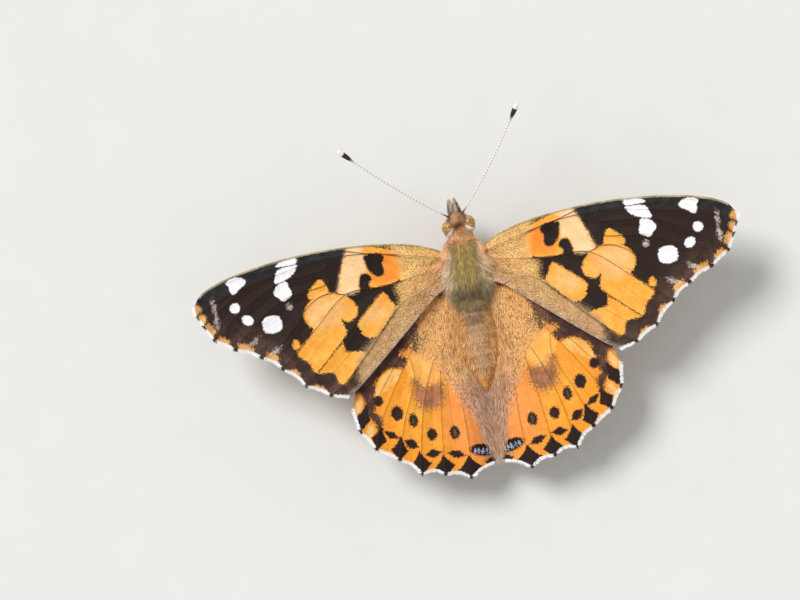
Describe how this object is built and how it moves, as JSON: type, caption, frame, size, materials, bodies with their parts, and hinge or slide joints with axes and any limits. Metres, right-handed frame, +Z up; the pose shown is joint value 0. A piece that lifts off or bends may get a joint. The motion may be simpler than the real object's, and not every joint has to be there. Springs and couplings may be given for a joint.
{
  "type": "butterfly",
  "caption": "Still, life-size painted lady butterfly: scalloped, veined wings spread flat, clubbed feelers, ringed abdomen, standing on its own feet.",
  "frame": {"origin": "on the floor, under the middle of the box round the whole animal", "axes": "+X to the animal's right along the wingspan, +Y towards its head, +Z up"},
  "size_m": [0.0638, 0.0423, 0.0133],
  "materials": {
    "wing_scales": "matte",
    "body_fur": "matte",
    "eye": "satin",
    "feeler": "satin",
    "leg": "matte",
    "tongue": "satin"
  },
  "bodies": {
    "root": {"abdomen": "body_fur", "antenna_left": "feeler", "antenna_right": "feeler", "eye_left": "eye", "eye_right": "eye", "foreleg_left": "leg", "foreleg_right": "leg", "forewing_left": "wing_scales", "forewing_right": "wing_scales", "head": "body_fur", "hindleg_femur_left": "leg", "hindleg_femur_right": "leg", "hindleg_tarsus_left": "leg", "hindleg_tarsus_right": "leg", "hindleg_tibia_left": "leg", "hindleg_tibia_right": "leg", "hindwing_left": "wing_scales", "hindwing_right": "wing_scales", "midleg_femur_left": "leg", "midleg_femur_right": "leg", "midleg_tarsus_left": "leg", "midleg_tarsus_right": "leg", "midleg_tibia_left": "leg", "midleg_tibia_right": "leg", "palp_left": "body_fur", "palp_right": "body_fur", "proboscis": "tongue", "thorax": "body_fur"}
  },
  "joints": []
}
